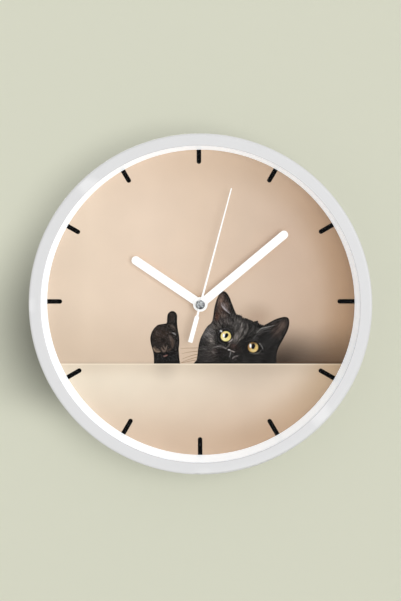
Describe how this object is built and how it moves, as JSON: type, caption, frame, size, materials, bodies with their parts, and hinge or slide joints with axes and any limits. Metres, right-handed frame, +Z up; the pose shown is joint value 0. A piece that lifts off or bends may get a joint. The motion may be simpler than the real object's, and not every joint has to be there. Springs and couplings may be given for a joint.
{
  "type": "quartz wall clock",
  "caption": "Round battery wall clock with a white ring case, flat clear lens, printed picture dial, centred hands and a geared quartz movement hung from a rear keyhole.",
  "frame": {"origin": "on the hands' axis, in the plane of the wall that the case's rear rim rests against", "axes": "+Z up, +X to the right of someone facing the dial, +Y into the wall; the dial faces -Y"},
  "size_m": [0.254, 0.038, 0.254],
  "materials": {
    "case_white": "satin white moulded ABS",
    "lens_clear": "clear, flat, lightly glossy",
    "spacer_white": "bright white, satin",
    "dial_print": "matt printed paper, warm tan with black ink",
    "board_grey": "raw fibre board",
    "cover_grey": "fine-grained moulded plastic",
    "screw_steel": "zinc-plated",
    "movement_black": "black moulded ABS, fine grain",
    "plate_natural": "natural acetal",
    "rubber_black": "soft black rubber",
    "brass": "turned brass",
    "cell_jacket": null,
    "contact_steel": "nickel-plated spring steel",
    "bobbin_white": "moulded nylon",
    "copper_wire": "enamelled copper wire",
    "core_iron": "soft magnetic steel",
    "board_green": "glass-fibre circuit board",
    "chip_black": "black epoxy blob",
    "crystal_can": "drawn metal can",
    "magnet_grey": "sintered magnet",
    "gear_white": "moulded acetal",
    "gear_amber": "moulded acetal, tinted",
    "arbor_steel": "ground steel",
    "knob_white": "moulded acetal",
    "hand_white": "white enamel on aluminium, satin",
    "cap_steel": "scratched, dull steel"
  },
  "bodies": {
    "case": {"case_ring": "case_white", "lens": "lens_clear", "spacer_ring": "spacer_white", "dial_paper": "dial_print", "dial_board": "board_grey", "back_cover": "cover_grey", "cover_screws": "screw_steel", "movement_base": "movement_black", "movement_cover": "movement_black", "train_plate": "plate_natural", "rubber_washer": "rubber_black", "brass_washer": "brass", "hex_nut": "brass", "contact_positive": "contact_steel", "contact_negative": "contact_steel", "coil_bobbin": "bobbin_white", "coil_winding": "copper_wire", "coil_core": "core_iron", "stator_plate": "core_iron", "circuit_board": "board_green", "clock_chip": "chip_black", "quartz_crystal": "crystal_can"},
    "minute_work": {"minute_tube": "brass", "centre_wheel": "gear_white", "clutch_spring": "contact_steel", "clutch_collar": "brass", "minute_hand": "hand_white"},
    "hour_work": {"hour_wheel": "gear_amber", "hour_hand": "hand_white"},
    "second_work": {"second_arbor": "arbor_steel", "second_wheel": "gear_white", "second_hand": "hand_white", "centre_cap": "cap_steel"},
    "third_work": {"third_wheel": "gear_amber"},
    "drive_work": {"drive_wheel": "gear_amber"},
    "rotor": {"rotor_magnet": "magnet_grey", "rotor_pinion": "gear_white"},
    "reversing_work": {"reversing_wheel": "gear_white"},
    "knob_work": {"setting_knob": "knob_white"},
    "battery_cell": {"battery": "cell_jacket"}
  },
  "joints": [
    {"name": "minute_turn", "type": "hinge", "parent": "case", "child": "minute_work", "pos_m": [0, 0, 0], "axis": [0, 1, 0], "continuous": true},
    {"name": "hour_turn", "type": "hinge", "parent": "case", "child": "hour_work", "pos_m": [0, 0, 0], "axis": [0, 1, 0], "continuous": true},
    {"name": "second_turn", "type": "hinge", "parent": "case", "child": "second_work", "pos_m": [0, 0, 0], "axis": [0, 1, 0], "continuous": true},
    {"name": "third_turn", "type": "hinge", "parent": "case", "child": "third_work", "pos_m": [0.0102, 0, 0], "axis": [0, 1, 0], "continuous": true},
    {"name": "drive_turn", "type": "hinge", "parent": "case", "child": "drive_work", "pos_m": [-0.00525, 0, 0.00909], "axis": [0, 1, 0], "continuous": true},
    {"name": "rotor_turn", "type": "hinge", "parent": "case", "child": "rotor", "pos_m": [-0.01318, 0, 0.01279], "axis": [0, 1, 0], "continuous": true},
    {"name": "reversing_turn", "type": "hinge", "parent": "case", "child": "reversing_work", "pos_m": [-0.00827, 0, -0.00146], "axis": [0, 1, 0], "continuous": true},
    {"name": "knob_turn", "type": "hinge", "parent": "case", "child": "knob_work", "pos_m": [-0.01758, 0, -0.0031], "axis": [0, 1, 0], "continuous": true},
    {"name": "battery_slide", "type": "slide", "parent": "case", "child": "battery_cell", "axis": [0, 1, 0], "range_m": [0, 0.02]}
  ],
  "couplings": [
    {"joint": "hour_turn", "follows": "minute_turn", "ratio": 0.083333},
    {"joint": "second_turn", "follows": "minute_turn", "ratio": 60},
    {"joint": "third_turn", "follows": "minute_turn", "ratio": -8},
    {"joint": "drive_turn", "follows": "minute_turn", "ratio": -300},
    {"joint": "rotor_turn", "follows": "minute_turn", "ratio": 1800},
    {"joint": "reversing_turn", "follows": "minute_turn", "ratio": -0.33333},
    {"joint": "knob_turn", "follows": "minute_turn", "ratio": 0.66667}
  ]
}
